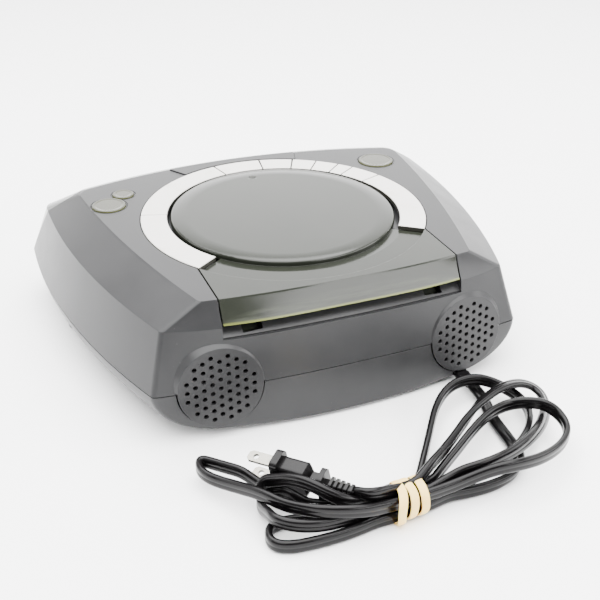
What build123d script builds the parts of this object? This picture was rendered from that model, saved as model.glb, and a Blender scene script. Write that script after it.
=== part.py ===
from build123d import *
import os
from math import atan2, cos, degrees, pi, radians, sin, sqrt

# A table-top clock radio with a top-loading disc player.
# Every piece is drawn about the disc axis, with z = 0 on the flat top deck, +Y to the rear
# and +X to the user's right, and is moved to the table frame when it is written.

# ---------------------------------------------------------------- case
deck_height = 79.0          # table to the flat deck
foot_height = 2.5           # rubber feet under the case
wall = 2.4                  # moulded wall of both shells
shoulder_drop = 13.5        # deck to the shoulder line
seam_drop = 47.5            # deck to the parting line of the shells
seam_gap = 0.6              # shadow line between the shells
front_strip_drop = 0.8       # fall of the lens strip in front of the deck
front_strip_width = 4.0

deck_rear_half = 81.8       # half widths and depths of the deck, about the disc axis
deck_rear_corner = 89.0
deck_rear_side = 90.2        # depth where the lid's sides cross each line
deck_rear_middle = 93.5
deck_front_half = 115.0
deck_front_corner = -77.0
deck_front_middle = -97.0
deck_front_arc = 332.0
deck_side_bow = 4.8

shoulder_rear_half = 103.8
shoulder_rear_corner = 90.1
shoulder_rear_side = 98.0
shoulder_rear_middle = 101.0
shoulder_front_half = 134.5
shoulder_front_corner = -99.0
shoulder_front_middle = -105.5
shoulder_side_bow = 9.6

seam_rear_half = 112.5
seam_rear_corner = 98.6
seam_rear_side = 103.6
seam_rear_middle = 106.2
seam_front_half = 145.5
seam_front_corner = -110.0
seam_front_middle = -117.5
seam_side_bow = 11.7

rear_corner_radius = 4.0
front_corner_radius = 10.0
belly_tuck = 46.0           # how far the sides curve in below the seam
front_tuck = 14.0
rear_foot_out = 2.8         # how far the rear wall still leans out below the seam

# ---------------------------------------------------------------- key ring and lid
ring_outer = 89.1
ring_inner = 73.0
ring_proud = 0.5
ring_half_angle = 127.0     # the ring runs this far each way from the front
ring_gap = 0.6
ring_centre_cut = 2.0
key_thickness = 3.0
key_gap = 0.5
key_travel = 1.2
key_edges = [12.0, -9.6, -25.0, -36.0, -46.5, -53.7, -68.0]
edge_chamfer = 0.35
label_arc_end = 72.5
stem_diameter = 4.0
stem_clearance = 0.25

lid_half_width = 71.4        # the rear outlines bend here
lid_side_gap = 0.9
lid_disc_radius = 70.5
lid_disc_shift = -1.9
lid_disc_top = 0.4
lid_thickness = 2.2
lid_strip_drop = 12.6
lid_band_drop = 2.4         # sunk band of the skirt behind the lid's disc
lid_rim_depth = 3.0

ledge_front = 80.0          # trough behind the disc well, under the lid
ledge_bend = 92.0
ledge_floor = -14.0
ledge_toe_drop = 20.0
ledge_toe_y = 99.9
ledge_sweep_radius = 1040.0  # the ledge follows the rear wall's bow
ledge_sweep_turn = 12.0
groove_width = 1.1
hinge_x = 54.9
hinge_slot_width = 11.3
hinge_arm_width = 10.6
hinge_y = 90.5
hinge_z = -24.0
hinge_pin_diameter = 3.0
hinge_hub_radius = 3.4
ear_thickness = 2.5
running_clearance = 0.05
side_clearance = 0.35

# ---------------------------------------------------------------- disc well and drive
well_top = -7.0             # flange that carries the ring and keys
well_thickness = 2.0
flange_radius = 95.0
dish_radius = 61.5
dish_depth = 6.5
disc_bottom = -9.5
turntable_radius = 14.5
hub_radius = 7.4
spindle_diameter = 2.0
turntable_rim = 1.5
hub_straight = 1.2          # the hub's straight part, about one disc thick
hub_cone = 1.8
hub_cone_radius = 5.2
clamp_radius = 15.0
clamp_pad_top = -4.2
latch_y = -66.0             # the hook's rear face, under the lid's front edge
switch_top = -12.4          # plunger tops of the key switches
switch_height = 1.6
snooze_gap = 0.4
snooze_stems = [(-22.0, -91.0), (24.0, -91.0)]
key_board_angles = (52, 20, -18, -60)
drive_slot_half = 17.0
drive_slot_reach = 60.5
drive_top = -18.0
drive_thickness = 2.0
damper_spots = [(30.0, 22.0), (-30.0, 22.0), (38.0, -30.0), (-38.0, -30.0)]
damper_post_radius = 2.2
damper_radius = 4.6
damper_height = 2.0
sled_rest_radius = 24.0     # where the lens rests, from the disc's axis
sled_half_length = 11.0
sled_half_width = 15.0
sled_top = -16.3
sled_bottom = -22.5
rod_x = 11.0
rod_z = -18.2
rod_radius = 1.5
window_near = -9.0
window_far = -71.0
motor_radius = 12.0
motor_depth = 12.0
gear_x, gear_y = 24.6, -46.0
gear_radius = 6.2
gear_thickness = 1.2
pinion_x, pinion_y = 31.6, -50.9
pinion_radius = 2.2
rack_rear = -12.0
lens_holder_radius = 4.2
lens_holder_top = -11.8
lens_radius = 2.2
gear_shaft = 2.0
bore_clearance = 0.05
feed_motor_radius = 8.0
gear_teeth = 31
pinion_teeth = 11
tooth_depth = 0.5
rack_far = 17.8              # the rack's toothed edge on the sled
rack_pitch = 1.26

# ---------------------------------------------------------------- round buttons
button_right = (100.5, -48.5, 10.6)
button_small = (88.2, -62.7, 6.9)
button_left = (-92.9, -58.6, 12.1)
button_gap = 0.4
button_proud = 0.8
button_height = 6.8
sleeve_wall = 2.0
sleeve_depth = 9.0

# ---------------------------------------------------------------- loudspeaker grilles
grille_x = 76.0
grille_y = 103.7
grille_z = -47.2
grille_radius = 23.8
grille_rim_radius = 27.0
grille_rim_height = 3.6
grille_plate = 2.0
grille_splay = 4.5
grille_tilt = 5.9
grille_gap = 0.7
hole_pitch = 5.354
hole_diameter = 2.7
hole_columns = [3, 6, 7, 8, 7, 8, 7, 6, 3]

# ---------------------------------------------------------------- front
lens_thickness = 2.0
lens_bottom = -40.0
lens_wrap_y = -76.6          # where the lens ends on the sides, at deck height
lens_wrap_low_y = -100.0
lens_clearance = 0.1
display_width = 96.0
display_height = 24.0
display_depth = 8.0
display_z = -23.0
front_lean = 19.4

# ---------------------------------------------------------------- inside
boss_spots = [(96.0, 38.0), (106.0, -74.0)]
boss_radius = 4.2
screw_diameter = 3.0
screw_head_diameter = 6.0
screw_head_height = 2.2
screw_sink = 21.0            # screw heads sit this far above the case bottom
foot_spots = [(56.0, 84.0), (74.0, -84.0)]
foot_diameter = 13.0
foot_recess = 1.0
board_thickness = 1.6
wheel_inset = 20.5           # widest line of the case to the axis of a wheel
wheel_y = -20.0
wheel_radius = 13.0
wheel_thickness = 5.0
control_height = 4.0
control_shaft = 6.0
bay_x = 32.0                 # battery bay, half width
bay_front = -54.0
bay_rear = -16.0
bay_depth = 21.0
bay_wall = 2.0
door_clearance = 0.25
door_pin_diameter = 1.6
door_thickness = 2.0
door_pin_reach = 1.4
door_axis_inset = 1.3        # the pins' axis, in from the bay's rear edge and up from the case bottom
standoff_spots = [(92.0, -46.0), (92.0, 4.0)]
core_x, core_y = -77.0, 62.5
core_length = 34.0           # transformer laminations, along X
core_width = 22.0
core_height = 28.5
core_leg = 11.5              # centre leg; outer legs and yokes are half of it
coil_width = 33.0
bobbin_flange = 1.4
coil_inset = 1.0
ear_reach = 6.0              # mounting ears beyond the laminations
ear_width = 10.0
ear_thickness = 1.5
standoff_radius = 3.0
control_half = 8.5
board_wing = 12.0            # the main board's ends reach this far around each control
board_front, board_rear = -55.0, 10.0
board_half = 110.0
chips = [(-50.0, -22.0, -45.0, -5.0, 2.5), (12.0, 26.0, -48.0, -20.0, 2.0), (48.0, 62.0, -38.0, -24.0, 12.0)]
cans = [(40.0, -8.0, 5.5, 16.0), (26.0, -6.0, 4.0, 11.0), (66.0, -4.0, 5.5, 16.0), (82.0, -22.0, 4.0, 11.0)]
knurl_count = 48
knurl_depth = 0.5

# ---------------------------------------------------------------- cord
relief_x = -74.0
relief_end = 118.0           # where the cord leaves its strain relief
relief_neck_y = 98.0
relief_flange_y = 107.4
cord_radius = 2.2
cord_meet = 131.0            # where the free cord runs into the hank
hank_top = -58.0
lobe_top = -64.0
band_near, band_far = 20.0, 0.0
band_front, band_rear = 184.8, 209.2
band_top = -60.8
band_thickness = 1.2
plug_tail = (37.2, 192.35, -60.0)
plug_turn = -49.75           # the plug's direction in plan
plug_dip = 4.75              # its blades point down by this much
plug_lean = 13.0             # and its top leans away from the case
plug_rounding = 0.45         # corner radius, as a share of the smaller half size
rib_first = 0.7              # ribs of the plug's strain relief
rib_pitch = 2.7
rib_thickness = 1.4
rib_count = 5
rib_growth = 0.18            # each rib stands out this much more than the last
rib_tall = 3.5               # half heights and half widths from here on
rib_wide = 2.8
collar_start = 15.5
collar_end = 18.4
collar_tall = 7.6
collar_wide = 5.0
neck_tall = 4.3
neck_wide = 3.4
neck_end = 23.1
body_start = 25.5
body_tall = 8.6
body_wide = 5.0
flange_start = 39.2
flange_end = 43.2
flange_tall = 11.5
flange_wide = 6.0
blade_end = 58.4
blade_pitch = 12.7
blade_width = 6.35
blade_thickness = 1.5
blade_hole = 3.2
blade_hole_inset = 4.6
blade_chamfer = 1.5
blade_seat = 8.0
right_lobe = [(-112, 150), (-104, 128), (-88, 116), (-62, 113), (-44, 122), (-36, 140), (-22, 168), (-6, 184),
              (-6, 208), (-40, 206), (-76, 199), (-102, 184), (-111, 168)]
left_lobe = [(22, 186), (40, 176), (64, 146), (84, 128), (97, 130), (98, 146), (88, 170), (88, 192), (70, 205),
             (40, 208), (22, 208)]

bottom_z = foot_height - deck_height
floor = -deck_height
ledge_centre = ledge_toe_y - ledge_sweep_radius
dish_floor = well_top - dish_depth
board_top = switch_top - switch_height
key_stem_end = switch_top + key_travel + 0.1
drive_bottom = drive_top - drive_thickness
damper_low = drive_bottom - damper_height
shaft_end = drive_bottom - 6.0
gear_low = drive_top + 0.4
gear_high = gear_low + gear_thickness
lens_top = disc_bottom - 1.5
door_axis_y = bay_rear - door_axis_inset
door_axis_z = bottom_z + door_axis_inset
board_z = bottom_z + 22.5    # underside of the main board
transformer_z = bottom_z + 6.5
transformer_top = transformer_z + core_height
transformer_ears = (core_x - core_length / 2 - ear_reach / 2, core_x + core_length / 2 + ear_reach / 2)
wheel_x = seam_front_half - wheel_inset
wheel_z = bottom_z + 14.5
relief_z = bottom_z + 2.9
frame_shift = -(relief_end + seam_front_middle) / 2


def save(shape, name):
    """Move a piece to the table frame and write it."""
    export_step(Pos(0, frame_shift, deck_height) * shape, f"parts/{name}.step")


# ------------------------------------------------------------------ outlines of the case
def outline(z, rear, front, bow, inset=0.0, front_inset=None, bend=lid_half_width):
    """A face of the case's plan: rear gives half width, corner, side and middle depth, and so does front."""
    if front_inset is None:
        front_inset = inset
    rear_half, rear_corner, rear_side, rear_middle = [value - inset for value in rear]
    front_half = front[0] - inset
    front_corner = front[1] + front_inset
    front_middle = front[2] + front_inset
    run = Vector(front_half - rear_half, front_corner - rear_corner)
    normal = Vector(-run.Y, run.X).normalized()
    middle = Vector((rear_half + front_half) / 2, (rear_corner + front_corner) / 2) + normal * bow
    side_right = ThreePointArc((rear_half, rear_corner), (middle.X, middle.Y), (front_half, front_corner))
    side_left = ThreePointArc((-front_half, front_corner), (-middle.X, middle.Y), (-rear_half, rear_corner))
    side_x = bend * rear_half / (rear_half + inset)
    edge_rear = Spline((-rear_half, rear_corner), (-side_x, rear_side), (0, rear_middle),
                       (side_x, rear_side), (rear_half, rear_corner))
    edge_front = ThreePointArc((front_half, front_corner), (0, front_middle), (-front_half, front_corner))
    face = make_face(edge_rear.edges() + side_right.edges() + edge_front.edges() + side_left.edges())
    corners = face.vertices().sort_by(Axis.Y)
    face = fillet(corners[2:], max(rear_corner_radius - inset, 0.8))
    corners = [v for v in face.vertices() if abs(abs(v.X) - front_half) < 0.01]
    face = fillet(corners, max(front_corner_radius - inset, 0.8))
    return Pos(0, 0, z) * face


def blend_values(low, high, share):
    return tuple(a + (b - a) * share for a, b in zip(low, high))


def upper_form(inset=0.0, top_inset=0.0, front_inset=None):
    """The upper half of the case as a solid, drawn in by inset on its walls and top_inset at its deck."""
    deck_rear = (deck_rear_half, deck_rear_corner, deck_rear_side, deck_rear_middle)
    deck_front = (deck_front_half, deck_front_corner, deck_front_middle)
    shoulder_rear = (shoulder_rear_half, shoulder_rear_corner, shoulder_rear_side, shoulder_rear_middle)
    shoulder_front = (shoulder_front_half, shoulder_front_corner, shoulder_front_middle)
    share = front_strip_drop / shoulder_drop
    strip_rear = blend_values(deck_rear, shoulder_rear, share)
    strip_half = deck_front_half + (shoulder_front_half - deck_front_half) * share
    strip_front = (strip_half, deck_front_corner - front_strip_width, deck_front_middle - front_strip_width)
    strip_bow = deck_side_bow + (shoulder_side_bow - deck_side_bow) * share
    seam_rear = (seam_rear_half, seam_rear_corner, seam_rear_side, seam_rear_middle)
    seam_front = (seam_front_half, seam_front_corner, seam_front_middle)
    deck_inset = 0.35 * inset
    if top_inset == 0:
        levels = [outline(0, deck_rear, deck_front, deck_side_bow)]
        levels.append(outline(-front_strip_drop, strip_rear, strip_front, strip_bow))
    else:
        levels = [outline(-top_inset, deck_rear, strip_front, deck_side_bow, deck_inset, front_inset)]
    levels.append(outline(-shoulder_drop - 0.35 * inset, shoulder_rear, shoulder_front,
                          shoulder_side_bow, inset, front_inset))
    levels.append(outline(-seam_drop, seam_rear, seam_front, seam_side_bow, inset, front_inset))
    return loft(levels, ruled=True)


def lower_form(inset=0.0, floor_inset=0.0, ruled=False):
    """The lower half of the case: sides that curve under, and a rear wall that leans out."""
    depth = -bottom_z - seam_drop - floor_inset
    levels = []
    for angle in (0, 20, 40, 58, 74, 90):
        fall = sin(radians(angle))
        draw_in = 1 - cos(radians(angle))
        rear = (seam_rear_half - belly_tuck * draw_in, seam_rear_corner + rear_foot_out * fall,
                seam_rear_side + rear_foot_out * fall, seam_rear_middle + rear_foot_out * fall)
        front = (seam_front_half - belly_tuck * draw_in, seam_front_corner + front_tuck * draw_in,
                 seam_front_middle + front_tuck * draw_in)
        bend = lid_half_width * rear[0] / seam_rear_half
        levels.append(outline(-seam_drop - depth * fall, rear, front, seam_side_bow, inset, bend=bend))
    return loft(levels, ruled=ruled)


# ------------------------------------------------------------------ small helpers
def block(x0, x1, y0, y1, z0, z1):
    """A box from its lowest to its highest corner."""
    return Pos((x0 + x1) / 2, (y0 + y1) / 2, (z0 + z1) / 2) * Box(x1 - x0, y1 - y0, z1 - z0)


def post(x, y, radius, z0, z1):
    """An upright cylinder from z0 to z1."""
    return Pos(x, y, (z0 + z1) / 2) * Cylinder(radius, z1 - z0)


def prism(points, z0, z1):
    """An upright prism on a plan outline."""
    return Pos(0, 0, z0) * extrude(make_face(Polyline(*points, close=True)), z1 - z0)


def side_prism(points, x0, x1):
    """A prism along X on a side outline of (y, z) points."""
    face = Plane.YZ * make_face(Polyline(*points, close=True))
    return Pos(x0, 0, 0) * extrude(face, x1 - x0)


def ring_point(radius, angle):
    """A point at an angle from the front, turning towards +X."""
    return radius * sin(radians(angle)), -radius * cos(radians(angle))


def ring_sector(inner, outer, start, end, z0, z1):
    """A piece of a flat ring between two angles from the front."""
    middle = (start + end) / 2
    outer_arc = ThreePointArc(ring_point(outer, start), ring_point(outer, middle), ring_point(outer, end))
    inner_arc = ThreePointArc(ring_point(inner, end), ring_point(inner, middle), ring_point(inner, start))
    sides = Line(outer_arc @ 1, inner_arc @ 0).edges() + Line(inner_arc @ 1, outer_arc @ 0).edges()
    return Pos(0, 0, z0) * extrude(make_face(outer_arc.edges() + inner_arc.edges() + sides), z1 - z0)


def toothed(x, y, radius, depth, count, z0, z1):
    """A disc whose rim is cut into teeth."""
    points = []
    for step in range(count):
        for share, reach in ((-0.22, radius), (0.22, radius), (0.34, radius - depth), (0.66, radius - depth)):
            angle = 2 * pi * (step + share) / count
            points.append((x + reach * cos(angle), y + reach * sin(angle)))
    return prism(points, z0, z1)


def joined(pieces):
    """One shape made of several."""
    total = pieces[0]
    for piece in pieces[1:]:
        total = total + piece
    return total


def both_sides(shape):
    """A shape and its mirror image across the middle plane."""
    return shape + mirror(shape, Plane.YZ)


os.makedirs("parts", exist_ok=True)
upper_outer = upper_form()
upper_inner = upper_form(wall, wall, wall + lens_thickness)
lower_outer = lower_form()
lower_inner = lower_form(wall, wall, ruled=True)
key_mid = (ring_inner + ring_outer) / 2
seam_z = -seam_drop


# ------------------------------------------------------------------ grilles and loudspeakers
def grille_plane(side):
    """The face plane of one grille, looking out of the rear wall; side is 1 or -1."""
    splay, tilt = radians(grille_splay), radians(grille_tilt)
    out = Vector(side * sin(splay) * cos(tilt), cos(splay) * cos(tilt), sin(tilt))
    across = Vector(cos(splay), -side * sin(splay), 0)
    return Plane(origin=(side * grille_x, grille_y, grille_z), x_dir=across, z_dir=out)


def hole_centres():
    """The hole pattern: columns a hex row apart, each with its own count of holes."""
    spots = []
    for index, count in enumerate(hole_columns):
        x = (index - (len(hole_columns) - 1) / 2) * hole_pitch * sqrt(3) / 2
        spots += [(x, (step - (count - 1) / 2) * hole_pitch) for step in range(count)]
    return spots


def grille_disc(side):
    """A grille's round plate, with the raised rim that the upper half of it has."""
    plane = grille_plane(side)
    plate = plane * Pos(0, 0, -2.5) * Cylinder(grille_radius, 5)
    rim = plane * Pos(0, 0, -grille_rim_height / 2) * Cone(grille_rim_radius, grille_radius, grille_rim_height)
    rim += plane * Pos(0, 0, -grille_rim_height - 1) * Cylinder(grille_rim_radius, 2)
    return plate + rim.cut(block(-200, 200, 50, 150, -120, seam_z + 1.0)), plane


def grille_cuts(side):
    """The speaker pocket behind a grille's plate, and its holes."""
    plane = grille_plane(side)
    pocket = plane * Pos(0, 0, -grille_plate - 10) * Cylinder(grille_radius - 1.6, 20)
    drill = Cylinder(hole_diameter / 2, grille_plate * 3)
    holes = [plane * Pos(x, y, -grille_plate) * drill for x, y in hole_centres()]
    return pocket, holes


def loudspeaker(side):
    """A small loudspeaker: pressed frame, paper cone behind the grille and a round magnet."""
    plane = grille_plane(side)
    radius = grille_radius - 1.6 - 0.3
    rows = [(0, -grille_plate - 5.2), (radius * 0.35, -grille_plate - 5.2), (radius * 0.8, -grille_plate - 1.6),
            (radius * 0.86, -grille_plate - 1.0), (radius * 0.92, -grille_plate - 1.6),
            (radius * 0.94, -grille_plate), (radius, -grille_plate), (radius, -grille_plate - 3),
            (radius * 0.62, -grille_plate - 11), (radius * 0.62, -grille_plate - 18), (0, -grille_plate - 18)]
    face = Plane.XZ * make_face(Polyline(*rows, close=True))
    return plane * revolve(face, Axis.Z)


# ------------------------------------------------------------------ upper shell
def ledge_profile(lift=0.0):
    """Side outline of the trough and ledge under the lid's rear edge, as (y, z) points."""
    return [(ledge_front, ledge_floor + lift), (ledge_bend, ledge_floor + lift),
            (ledge_toe_y, -ledge_toe_drop + lift)]


def bowed(points):
    """A side outline swept round the rear wall's bow."""
    face = Plane.YZ * make_face(Polyline(*points, close=True))
    axis = Axis((0, ledge_centre, 0), (0, 0, 1))
    swept = Pos(0, -ledge_centre, 0) * revolve(face, axis, -ledge_sweep_turn)
    return Pos(0, ledge_centre, 0) * Rot(0, 0, ledge_sweep_turn / 2) * swept


def ring_opening():
    """The deck's opening for the ring and lid."""
    round_part = post(0, 0, ring_outer + ring_gap, -12, 5)
    half = lid_half_width + lid_side_gap
    return round_part + block(-half, half, 0, 86, -12, 5)


def lid_notch():
    """The cut through the rear of the deck above the ledge, with the groove at its toe."""
    groove_floor = -ledge_toe_drop - 0.9
    top = -ledge_toe_drop - 0.4
    points = ledge_profile() + [(ledge_toe_y, groove_floor), (ledge_toe_y + groove_width, groove_floor),
                                (ledge_toe_y + groove_width, top), (130, top), (130, 6), (ledge_front, 6)]
    half = lid_half_width + lid_side_gap
    return bowed(points) & block(-half, half, 60, 140, -40, 10)


def ledge_body():
    """The ledge's own plate with the cheeks at its ends."""
    under = -ledge_toe_drop - 3.6
    points = ledge_profile() + [(ledge_toe_y + 6, -ledge_toe_drop), (ledge_toe_y + 6, under),
                                (ledge_toe_y - 2.2, under), (ledge_bend - 1.0, ledge_floor - wall),
                                (ledge_front, ledge_floor - wall)]
    half = lid_half_width + lid_side_gap
    plate = bowed(points) & block(-half - wall, half + wall, 60, 140, -40, 10)
    cheeks = both_sides(block(half, half + wall, 53, 106, under, -0.5))
    return (plate + cheeks) & upper_outer


def hinge_ears():
    """Pairs of ears under the ledge that carry the lid's pins."""
    reach = hinge_arm_width / 2 + side_clearance
    outline_points = [(hinge_y - hinge_hub_radius, hinge_z), (hinge_y - hinge_hub_radius, ledge_floor - 1),
                      (hinge_y + hinge_hub_radius, ledge_floor - 1), (hinge_y + hinge_hub_radius, hinge_z)]
    ears = []
    for start in (hinge_x - reach - ear_thickness, hinge_x + reach):
        ear = side_prism(outline_points, start, start + ear_thickness)
        hub = Pos(start + ear_thickness / 2, hinge_y, hinge_z) * Rot(0, 90, 0) * Cylinder(hinge_hub_radius, ear_thickness)
        ears.append(ear + hub)
    pair = joined(ears)
    bore = Pos(hinge_x, hinge_y, hinge_z) * Rot(0, 90, 0) * Cylinder(hinge_pin_diameter / 2 + 0.02, 30)
    return both_sides(pair - bore)


def lens_zone(grow=0.0):
    """The space in front of the lens's rear boundary, from the deck down to the lens's lower edge."""
    reach = 119.0
    top_y = lens_wrap_y + grow
    middle = deck_front_middle + grow
    high = make_face(ThreePointArc((-reach, top_y), (0, middle), (reach, top_y)).edges()
                     + Polyline((reach, top_y), (170, top_y), (170, -160), (-170, -160), (-170, top_y),
                                (-reach, top_y)).edges())
    low_y = lens_wrap_low_y + grow
    low = make_face(ThreePointArc((-reach, low_y - 0.01), (0, low_y), (reach, low_y - 0.01)).edges()
                    + Polyline((reach, low_y - 0.01), (170, low_y), (170, -160), (-170, -160), (-170, low_y),
                               (-reach, low_y - 0.01)).edges())
    return loft([Pos(0, 0, 1) * high, Pos(0, 0, lens_bottom - grow) * low], ruled=True)


def button_hole(button):
    x, y, radius = button
    return post(x, y, radius + button_gap, -sleeve_depth - 1, 5)


def button_sleeve(button):
    x, y, radius = button
    return post(x, y, radius + button_gap + sleeve_wall, -sleeve_depth, -1)


buttons = {"button_right": button_right, "button_small": button_small, "button_left": button_left}


def snooze_plan(grow=0.0, front_reach=0.0):
    """The snooze bar's plan: between the ring and the lens strip, with splayed ends."""
    ends = [(-38.4 - grow, -76.0), (-43.4 - grow, -93.0), (-44.5 - grow, -101.0), (50.2 + grow, -101.0),
            (48.4 + grow, -92.0), (38.6 + grow, -76.0)]
    bar = prism(ends, -12, 6)
    bar = bar - post(0, 0, ring_outer + ring_gap - grow, -15, 8)
    front = Pos(0, deck_front_middle + deck_front_arc + snooze_gap - front_reach, 0)
    return bar & front * Cylinder(deck_front_arc, 60)


def post_spots():
    """Where the deck's posts reach the disc well's flange."""
    return [ring_point(ring_outer + ring_gap + 3.0, angle) for angle in (40, 66, 104, -40, -66, -104)]


def make_upper_shell():
    shell = upper_outer - upper_inner
    backing = (upper_form(lens_thickness + lens_clearance, lens_thickness + lens_clearance) & lens_zone(3.0))
    shell = shell + (backing - upper_form(lens_thickness + wall, lens_thickness + wall))
    shell = shell + (joined([button_sleeve(b) for b in buttons.values()]) & upper_outer)
    columns = [post(side * x, y, boss_radius, seam_z, -1) for x, y in boss_spots for side in (1, -1)]
    columns += [post(x, y, 2.4, well_top, -1) for x, y in post_spots()]
    shell = shell + (joined(columns) & upper_outer)
    shell = shell + ledge_body() + hinge_ears()
    for side in (1, -1):
        disc, plane = grille_disc(side)
        shell = shell + disc
    shell = shell - ring_opening() - lid_notch()
    shell = shell - joined([button_hole(b) for b in buttons.values()]) - snooze_plan(snooze_gap, 3 * snooze_gap)
    slots = block(hinge_x - hinge_slot_width / 2, hinge_x + hinge_slot_width / 2, 83.0, 97.0, -24.0, -10)
    shell = shell - both_sides(slots)
    pocket = lens_zone(lens_clearance * 2) - upper_form(lens_thickness + lens_clearance,
                                                        lens_thickness + lens_clearance)
    shell = shell - pocket
    shell = shell - block(-display_width / 2, display_width / 2, -130, -90,
                          display_z - display_height / 2, display_z + display_height / 2)
    for side in (1, -1):
        pocket, holes = grille_cuts(side)
        shell = (shell - pocket).cut(*holes)
    cores = [post(side * x, y, screw_diameter / 2 + 0.05, seam_z - 1, -24) for x, y in boss_spots for side in (1, -1)]
    return shell - joined(cores)


upper_shell = make_upper_shell()
save(upper_shell, "upper_shell")
front_lens = (upper_outer & lens_zone()) - upper_form(lens_thickness, lens_thickness)
save(front_lens, "front_lens")


# ------------------------------------------------------------------ lower shell
def bay_form():
    """The battery bay's walls and roof, open downwards."""
    outer = block(-bay_x, bay_x, bay_front, bay_rear, bottom_z + 0.5, bottom_z + bay_depth)
    inner = block(-bay_x + bay_wall, bay_x - bay_wall, bay_front + bay_wall, bay_rear - bay_wall,
                  bottom_z - 1, bottom_z + bay_depth - bay_wall)
    return outer, inner


def make_lower_shell():
    shell = lower_outer - lower_inner
    shell = shell - block(-200, 200, -200, 200, seam_z - seam_gap, 10)
    floor_z = bottom_z + wall
    for x, y in boss_spots:
        for side in (1, -1):
            column = post(side * x, y, boss_radius + 0.6, bottom_z, seam_z) & lower_outer
            shell = shell + column
    standoffs = [post(side * x, y, standoff_radius, floor_z - 1, board_z) for x, y in standoff_spots for side in (1, -1)]
    standoffs += [post(x, core_y, standoff_radius, floor_z - 1, transformer_z) for x in transformer_ears]
    shell = shell + (joined(standoffs) & lower_outer)
    bay_outer, bay_inner = bay_form()
    shell = shell + bay_outer - bay_inner
    seat = block(-bay_x - door_clearance, bay_x + door_clearance, bay_front - door_clearance,
                 bay_rear + door_clearance, bottom_z - 1, bottom_z + door_thickness + door_clearance)
    swing = block(-bay_x - door_clearance, bay_x + door_clearance, door_axis_y - 1.6, bay_rear + door_clearance,
                  bottom_z, door_axis_z + 1.6)
    shell = shell - seat - swing
    pin_bore = Pos(0, door_axis_y, door_axis_z) * Rot(0, 90, 0)
    shell = shell - pin_bore * Cylinder(door_pin_diameter / 2 + running_clearance, 2 * bay_x + 2 * door_pin_reach + 0.4)
    for side in (1, -1):
        plane = grille_plane(side)
        shell = shell - plane * Pos(0, 0, -4) * Cylinder(grille_radius + grille_gap, 22)
        for x, y in boss_spots:
            shell = shell - post(side * x, y, screw_diameter / 2 + 0.15, bottom_z - 1, 0)
            shell = shell - post(side * x, y, screw_head_diameter / 2 + 0.3, bottom_z - 30, bottom_z + screw_sink)
        for x, y in foot_spots:
            shell = shell - post(side * x, y, foot_diameter / 2 + 0.1, bottom_z - 1, bottom_z + foot_recess)
        slot = post(side * wheel_x, wheel_y, wheel_radius + 1.0, wheel_z - wheel_thickness / 2 - 0.8,
                    wheel_z + wheel_thickness / 2 + 0.8)
        shell = shell - slot
    return shell - relief_body(0.15)


def relief_section(y, half_width, half_height):
    face = RectangleRounded(2 * half_width, 2 * half_height, min(half_height - 0.1, 2.0))
    return Pos(relief_x, y, relief_z) * (Plane.XZ * face)


def relief_body(grow=0.0):
    """The cord's flat bush: its neck in the wall, and its taper outside."""
    sections = [relief_section(y, 4.4 + grow, 2.2 + grow) for y in (relief_neck_y, relief_flange_y)]
    return loft(sections, ruled=True)


def make_strain_relief():
    """The bush with the ribbed taper that keeps the cord from bending sharply at the wall."""
    sections = [relief_section(relief_flange_y, 4.8, 2.4), relief_section(relief_end, 3.8, 2.2)]
    return relief_body() + loft(sections, ruled=True)


lower_shell = make_lower_shell()
save(lower_shell, "lower_shell")


def make_battery_door():
    """The bay's door, with hinge pins at one edge and a snap lip at the other."""
    plate = block(-bay_x, bay_x, bay_front, bay_rear, bottom_z, bottom_z + door_thickness)
    plate = fillet(plate.edges().filter_by(Axis.X).group_by(Axis.Y)[-1], 0.9)
    pin = Pos(0, door_axis_y, door_axis_z) * Rot(0, 90, 0)
    pin = pin * Cylinder(door_pin_diameter / 2, 2 * bay_x + 2 * door_pin_reach)
    lip = block(-7, 7, bay_front + bay_wall + 0.6, bay_front + bay_wall + 2.0, bottom_z + 1, bottom_z + 6)
    grip = joined([block(-9, 9, bay_front + 5 + 2.4 * i, bay_front + 6.2 + 2.4 * i, bottom_z - 1, bottom_z + 0.5)
                   for i in range(4)])
    return plate + pin + lip - grip


save(make_battery_door(), "battery_door")
feet = joined([post(side * x, y, foot_diameter / 2, bottom_z - foot_height, bottom_z + foot_recess)
               for x, y in foot_spots for side in (1, -1)])
save(feet, "rubber_feet")


def case_screw(x, y):
    head = post(x, y, screw_head_diameter / 2, bottom_z + screw_sink - screw_head_height, bottom_z + screw_sink)
    head = head - block(x - 2.6, x + 2.6, y - 0.5, y + 0.5, bottom_z + screw_sink - 4, bottom_z + screw_sink - 1.2)
    return head + post(x, y, screw_diameter / 2, bottom_z + screw_sink, seam_z + 12)


save(joined([case_screw(side * x, y) for x, y in boss_spots for side in (1, -1)]), "case_screws")


# ------------------------------------------------------------------ disc lid
def lid_form():
    """The lid's curved rear part, cut from the case's own form so that it lies flush with the deck."""
    half = lid_half_width
    skin = upper_outer - upper_form(lid_thickness, lid_thickness)
    skirt = skin & block(-half, half, 30, 130, -lid_strip_drop, 5)
    ring_zone = ring_sector(ring_centre_cut, ring_outer + ring_gap, -ring_half_angle - 0.3, ring_half_angle + 0.3, -20, 10)
    deck_part = skirt - ring_zone
    return deck_part


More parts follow.
